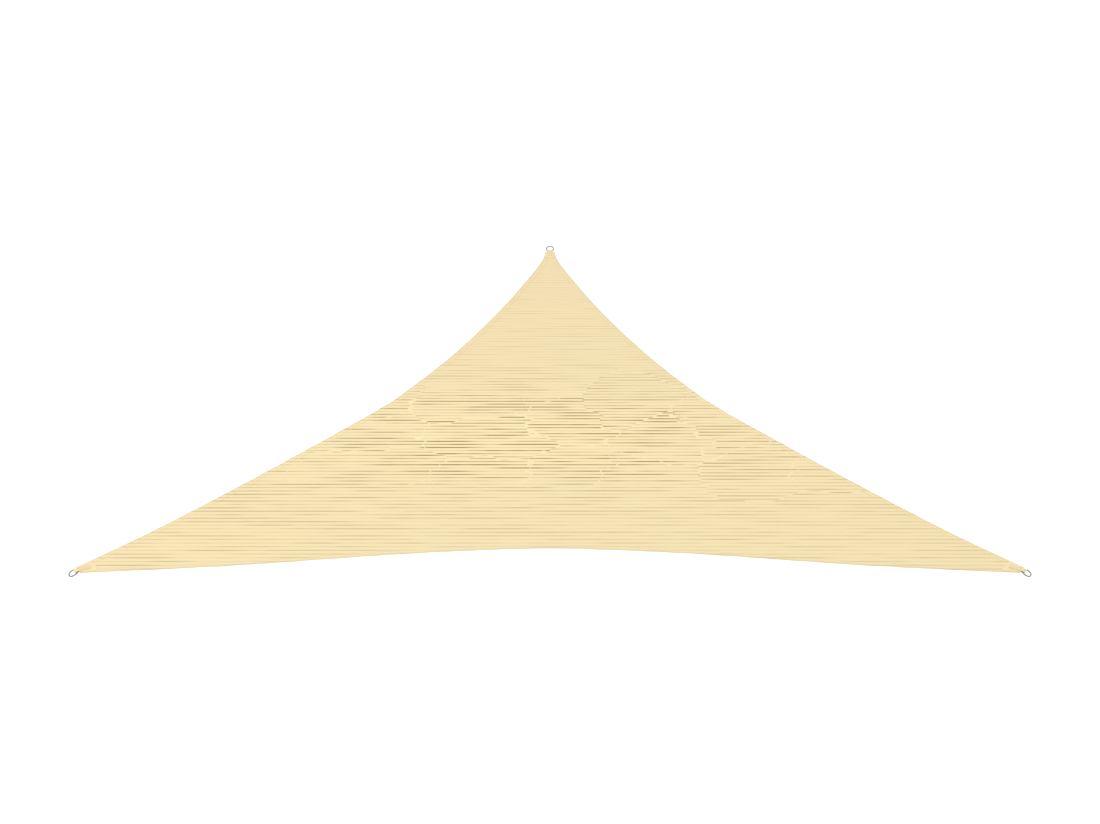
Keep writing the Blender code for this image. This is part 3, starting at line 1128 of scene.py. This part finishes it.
def webbing():
    """Woven strap: fine ribs in a herringbone, following the strap."""
    finish = Finish("webbing", Sheen_Weight=0.15, Sheen_Roughness=0.4)
    along, aside, _ = finish.parts(finish.node("ShaderNodeUVMap", uv_map="webbing"))
    chevron = abs((aside / CHEVRON_WIDTH).part() - 0.5) * CHEVRON_WIDTH
    rib = abs(((along + chevron) / RIB_PITCH).part() - 0.5)
    yarn = abs((aside / YARN_PITCH).part() - 0.5)
    weave = (1 - 3.2 * rib * rib) * (1 - 1.4 * yarn * yarn)
    begins, full = (STRAP_WIDTH / 2 - inset for inset in SELVEDGE)
    border = finish.rise(abs(aside), begins, full)
    base = finish.mix(border * 0.5, WEBBING_FIELD, WEBBING_BORDER)
    # Painted shade in the hollows between the ribs and yarns
    base = finish.toned(base, 0.72 + 0.32 * weave)
    return finish.give(
        Base_Color=base,
        Roughness=0.68 - 0.16 * weave,
        Normal=finish.bump(weave, distance=0.0003, strength=0.7),
    )


def sewing_thread():
    """Twisted outdoor thread, a little darker than the cloth."""
    finish = Finish("sewing_thread", Sheen_Weight=0.2, Sheen_Roughness=0.4)
    (x, y, z), spot = finish.place()
    twist = abs(((x + y * 0.7 + z) / TWIST_PITCH).part() - 0.5)
    # Painted shade in the grooves of the twist
    base = finish.mix(twist * 1.6, THREAD_LIGHT, THREAD_DARK)
    fleck = finish.noise(spot, detail=1.0, scale=700.0)
    return finish.give(
        Base_Color=base,
        Roughness=0.55 + 0.2 * fleck,
        Normal=finish.bump(twist, distance=0.0001, strength=0.5),
    )


def steel():
    """Polished stainless wire with fine scratches. Its tones are much darker than bare steel: a
    painted dark reflection of the surroundings.
    """
    finish = Finish("steel", Metallic=1.0)
    _, spot = finish.place()
    cloudy = finish.noise(spot, detail=3.0, scale=180.0)
    scratches = finish.noise(spot, detail=2.0, scale=2600.0, roughness=0.7)
    base = finish.mix(cloudy, STEEL_DARK, STEEL_LIGHT)
    return finish.give(
        Base_Color=base,
        Roughness=0.16 + 0.16 * cloudy,
        Normal=finish.bump(scratches, distance=0.00002, strength=0.5),
    )


def pale_floor():
    return Finish("pale_floor", Roughness=0.9, Base_Color=grey(0.96)).material


# ---------------------------------------------------------------- the sail

THREAD = sewing_thread()
CLOTH, DOUBLER, WEBBING, STEEL = shade_cloth(), patch_cloth(), webbing(), steel()
HEM_STITCH = 0.0065  # spacing of the stitches
PATCH_STITCH = 0.0050
BOX_STITCH = 0.0046

finished = []  # piece, material, slot, replaced nodes

cloth = make_cloth()
finished.append((cloth, CLOTH, "shade_cloth", ["sail_cloth"]))
for side, place in ((1, "top"), (-1, "under")):
    seams = sew(f"hem_seams_{place}", hem_seams(side), HEM_STITCH, THREAD)
    finished.append((seams, THREAD, "shade_cloth", []))

# The edge that starts at each corner, and the one that ends there
leaving = {"front_left": EDGES[0], "front_right": EDGES[1], "rear": EDGES[2]}
arriving = {"front_left": EDGES[2], "front_right": EDGES[0], "rear": EDGES[1]}
for corner, turn, tilt in CORNERS:
    grid = patch_grid(turn, leaving[corner], arriving[corner])
    patch = make_patch(corner, grid)
    finished.append((patch, DOUBLER, "patch_cloth", [f"patch_{corner}"]))
    strap = make_strap(corner, turn, tilt)
    finished.append((strap, WEBBING, "webbing", [f"strap_{corner}"]))
    ring = make_ring(corner, turn, tilt)
    finished.append((ring, STEEL, "steel", [f"ring_{corner}"]))
    seam = sew(f"doubler_seam_{corner}", [patch_seam(grid)], PATCH_STITCH, THREAD)
    finished.append((seam, THREAD, "patch_cloth", []))
    lines = box_seam(turn, 1) + box_seam(turn, -1)
    box = sew(f"box_seam_{corner}", lines, BOX_STITCH, THREAD)
    finished.append((box, THREAD, "webbing", []))

for piece, material, slot, nodes in finished:
    piece.data.materials.clear()
    piece.data.materials.append(material)
    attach(piece, "root")
    if nodes:
        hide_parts(*nodes)

# ---------------------------------------------------------------- studio

scene = bpy.context.scene
scene.view_settings.view_transform = "Standard"

FLOOR_DROP = 12.0  # low enough for the sail's soft shadow to stay out of the photo's view
FLOOR_HALF = 300.0
floor = add_mesh(
    "floor",
    [
        (-FLOOR_HALF, -FLOOR_HALF, -FLOOR_DROP),
        (FLOOR_HALF, -FLOOR_HALF, -FLOOR_DROP),
        (FLOOR_HALF, FLOOR_HALF, -FLOOR_DROP),
        (-FLOOR_HALF, FLOOR_HALF, -FLOOR_DROP),
    ],
    [(0, 1, 2, 3)],
)
floor.data.materials.append(pale_floor())

WORLD_LIGHT = 1.12  # a little over 1, so that the floor is white in every view
world = bpy.data.worlds.new("studio")
world.use_nodes = True
background = world.node_tree.nodes["Background"]
background.inputs["Color"].default_value = grey(1.0)
background.inputs["Strength"].default_value = WORLD_LIGHT
scene.world = world

AIM = (0.0, -2.6, 0.0)  # of the soft boxes, near the sail's middle


def soft_light(name, place, size, strength):
    """A square soft box. strength: what it adds to the light on a level sheet at its aim, where
    1 is the light that makes a white sheet just white."""
    lamp = bpy.data.lights.new(name, "AREA")
    lamp.shape = "SQUARE"
    lamp.size = size
    towards = Vector(AIM) - Vector(place)
    distance = towards.length
    slope = -towards.z / distance
    lamp.energy = strength * math.pi * math.pi * distance**2 / slope
    light = bpy.data.objects.new(name, lamp)
    light.location = place
    light.rotation_euler = towards.to_track_quat("-Z", "Y").to_euler()
    scene.collection.objects.link(light)


SOFT_BOXES = (
    # name, place, size, strength
    ("key", (-9.0, -13.0, 17.0), 9.0, 0.20),
    ("top", (2.0, 3.0, 20.0), 12.0, 0.05),
)
for name, place, size, strength in SOFT_BOXES:
    soft_light(name, place, size, strength)

# From here the three fixing points fall where the photo shows them
CAMERA_PLACE = (0.0, -14.6616, 6.1626)
CAMERA_TILT = math.radians(63.1683)  # up from looking straight down
camera_data = bpy.data.cameras.new("camera")
camera_data.lens = 75.0
camera_data.sensor_width = 36.0
camera_data.clip_end = 500.0
camera = bpy.data.objects.new("camera", camera_data)
camera.location = CAMERA_PLACE
camera.rotation_euler = (CAMERA_TILT, 0.0, 0.0)
scene.collection.objects.link(camera)
scene.camera = camera
